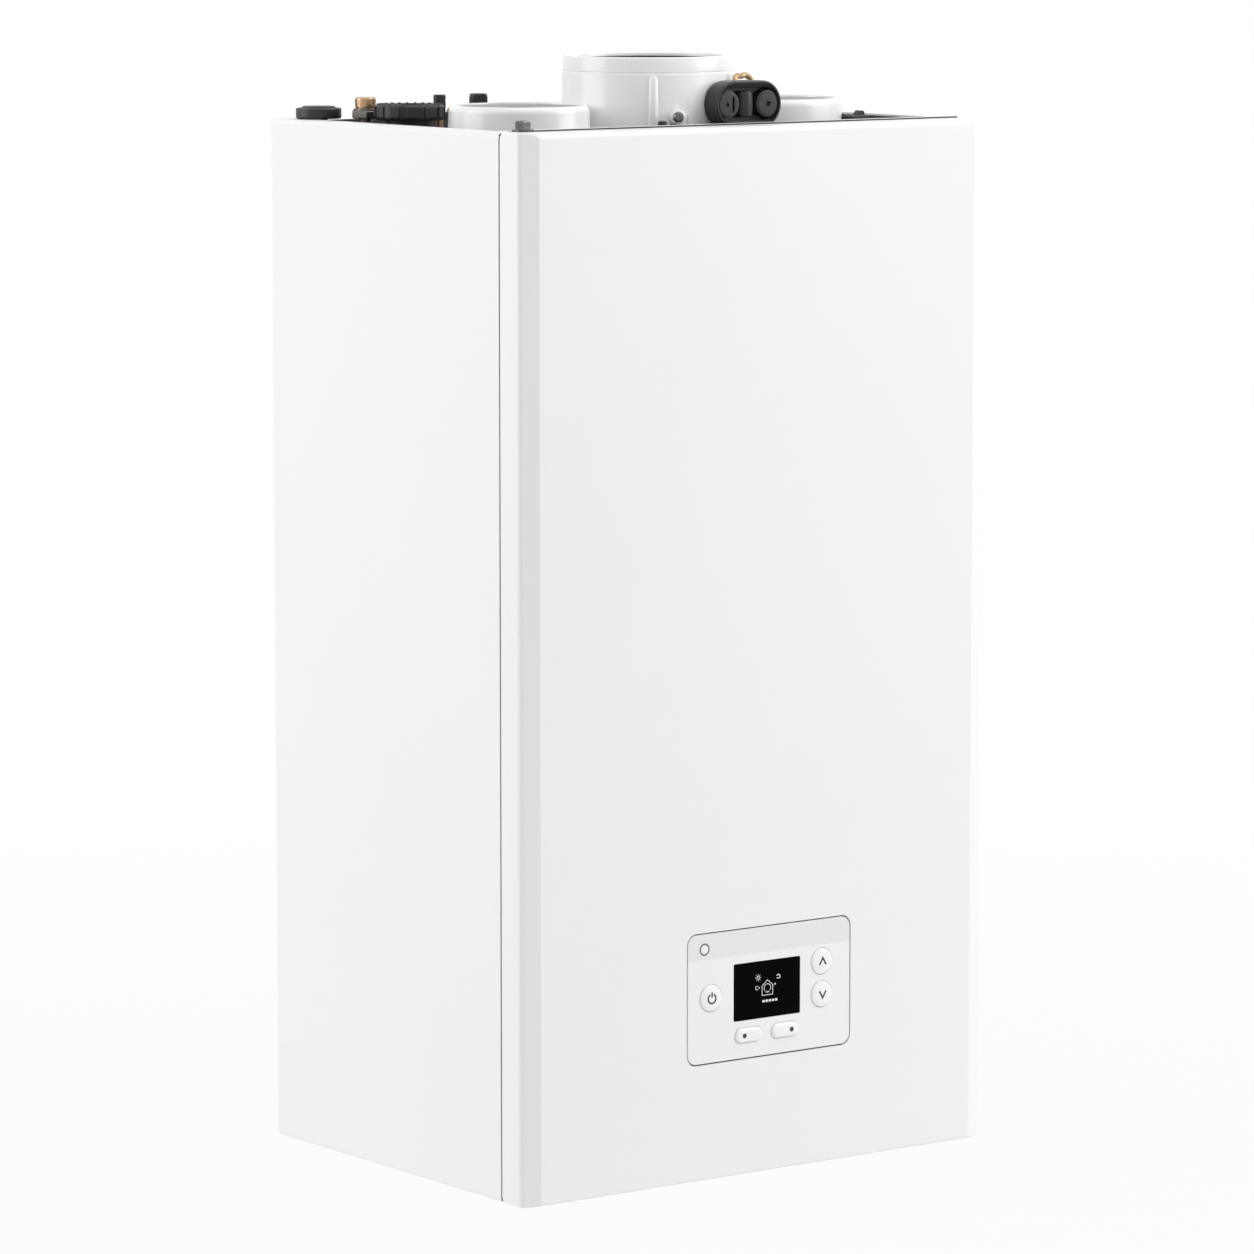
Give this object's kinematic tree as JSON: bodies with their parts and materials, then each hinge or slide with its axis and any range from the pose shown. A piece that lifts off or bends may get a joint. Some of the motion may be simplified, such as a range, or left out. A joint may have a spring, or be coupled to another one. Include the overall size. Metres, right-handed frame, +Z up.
{
  "type": "combi boiler",
  "caption": "Wall-hung condensing combi boiler: white casing with a removable front cover, a flush control panel that tilts with its box, a coaxial flue collar on top and pipe stubs below.",
  "frame": {"origin": "centre of the wall bracket's back face, on the wall, 60 mm below the casing's top edge", "axes": "+X to the right as seen from the front, +Y back into the wall, +Z up; the front cover faces -Y"},
  "size_m": [0.388, 0.2955, 0.7584],
  "materials": {
    "white_steel": "semi-gloss white powder coat",
    "zinc_steel": "zinc-plated sheet",
    "dark_steel": "dark grey coated sheet",
    "white_plastic": "glossy white moulding",
    "black_plastic": "black moulding",
    "grey_plastic": "dark grey glass-filled moulding",
    "rubber": "soft black rubber",
    "stainless": "stainless steel",
    "cast_aluminium": "die-cast aluminium",
    "brass": "turned brass",
    "copper": "drawn copper tube",
    "display_black": "black glossy window",
    "circuit_board": "green lacquered board",
    "red_steel": "red painted steel",
    "red_plastic": "red moulding",
    "ceramic": "glazed ceramic"
  },
  "bodies": {
    "casing": {"wall_bracket": "zinc_steel", "rear_panel": "zinc_steel", "left_side_panel": "white_steel", "right_side_panel": "white_steel", "bottom_plate": "zinc_steel", "top_front_rail": "white_steel", "rail_screw": "stainless", "top_deck": "dark_steel", "flue_collar": "white_plastic", "collar_screw": "stainless", "outer_flue_seal": "rubber", "inner_flue_duct": "white_plastic", "left_air_plug": "white_plastic", "right_air_plug": "white_plastic", "sampling_housing": "black_plastic", "charge_valve": "brass", "auto_air_vent": "brass", "large_bung": "rubber", "corner_bung": "rubber", "control_box_hinge_pin": "stainless", "mains_gland": "black_plastic", "heat_exchanger_shell": "black_plastic", "heat_exchanger_coil": "stainless", "burner_door": "cast_aluminium", "burner": "stainless", "ignition_electrode": "ceramic", "fan_housing": "cast_aluminium", "fan_motor": "black_plastic", "gas_valve": "cast_aluminium", "gas_pipe": "copper", "flow_block": "grey_plastic", "diverter_motor": "black_plastic", "return_block": "grey_plastic", "pump_motor": "black_plastic", "plate_heat_exchanger": "stainless", "flow_pipe": "copper", "return_pipe": "copper", "expansion_vessel": "red_steel", "condensate_trap": "white_plastic"},
    "front_cover": {"front_cover": "white_steel", "cover_seal": "rubber", "cover_screw_left": "zinc_steel", "cover_screw_right": "zinc_steel"},
    "control_box": {"control_box": "grey_plastic", "control_box_back": "grey_plastic", "control_board": "circuit_board", "fascia": "white_plastic", "display_window": "display_black"},
    "power_button": {"power_button": "white_plastic"},
    "up_button": {"up_button": "white_plastic"},
    "down_button": {"down_button": "white_plastic"},
    "left_soft_key": {"left_soft_key": "white_plastic"},
    "right_soft_key": {"right_soft_key": "white_plastic"},
    "sampling_cap_left": {"sampling_cap_left": "black_plastic"},
    "sampling_cap_right": {"sampling_cap_right": "black_plastic"},
    "air_vent_cap": {"air_vent_cap": "black_plastic"},
    "filling_tap": {"filling_tap": "black_plastic"},
    "relief_valve_knob": {"relief_valve_knob": "red_plastic"},
    "fan_impeller": {"fan_impeller": "cast_aluminium"},
    "pump_impeller": {"pump_impeller": "white_plastic"}
  },
  "joints": [
    {"name": "front_cover_slide", "type": "slide", "parent": "casing", "child": "front_cover", "axis": [0, -1, 0], "range_m": [0, 0.5]},
    {"name": "control_box_tilt", "type": "hinge", "parent": "casing", "child": "control_box", "pos_m": [0.0076, -0.258, -0.604], "axis": [1, 0, 0], "range_deg": [0, 80]},
    {"name": "power_button_press", "type": "slide", "parent": "control_box", "child": "power_button", "axis": [0, 1, 0], "range_m": [0, 0.0008], "stiffness_N_per_m": 800},
    {"name": "up_button_press", "type": "slide", "parent": "control_box", "child": "up_button", "axis": [0, 1, 0], "range_m": [0, 0.0008], "stiffness_N_per_m": 800},
    {"name": "down_button_press", "type": "slide", "parent": "control_box", "child": "down_button", "axis": [0, 1, 0], "range_m": [0, 0.0008], "stiffness_N_per_m": 800},
    {"name": "left_soft_key_press", "type": "slide", "parent": "control_box", "child": "left_soft_key", "axis": [0, 1, 0], "range_m": [0, 0.0008], "stiffness_N_per_m": 800},
    {"name": "right_soft_key_press", "type": "slide", "parent": "control_box", "child": "right_soft_key", "axis": [0, 1, 0], "range_m": [0, 0.0008], "stiffness_N_per_m": 800},
    {"name": "sampling_cap_left_pull", "type": "slide", "parent": "casing", "child": "sampling_cap_left", "axis": [0, -1, 0], "range_m": [0, 0.022]},
    {"name": "sampling_cap_right_pull", "type": "slide", "parent": "casing", "child": "sampling_cap_right", "axis": [0, -1, 0], "range_m": [0, 0.022]},
    {"name": "air_vent_cap_turn", "type": "hinge", "parent": "casing", "child": "air_vent_cap", "pos_m": [-0.078, -0.08, 0.072], "axis": [0, 0, 1], "range_deg": [0, 270]},
    {"name": "filling_tap_turn", "type": "hinge", "parent": "casing", "child": "filling_tap", "pos_m": [0.098, -0.075, -0.644], "axis": [0, 0, 1], "range_deg": [0, 90]},
    {"name": "relief_valve_turn", "type": "hinge", "parent": "casing", "child": "relief_valve_knob", "pos_m": [-0.065, -0.141, -0.58], "axis": [0, -1, 0], "range_deg": [0, 90]},
    {"name": "fan_spin", "type": "hinge", "parent": "casing", "child": "fan_impeller", "pos_m": [-0.075, -0.235, -0.002], "axis": [0, -1, 0], "continuous": true},
    {"name": "pump_spin", "type": "hinge", "parent": "casing", "child": "pump_impeller", "pos_m": [0.12, -0.136, -0.53], "axis": [0, -1, 0], "continuous": true}
  ],
  "couplings": [
    {"joint": "control_box_tilt", "follows": "front_cover_slide", "rad_per_m": 2.79}
  ]
}
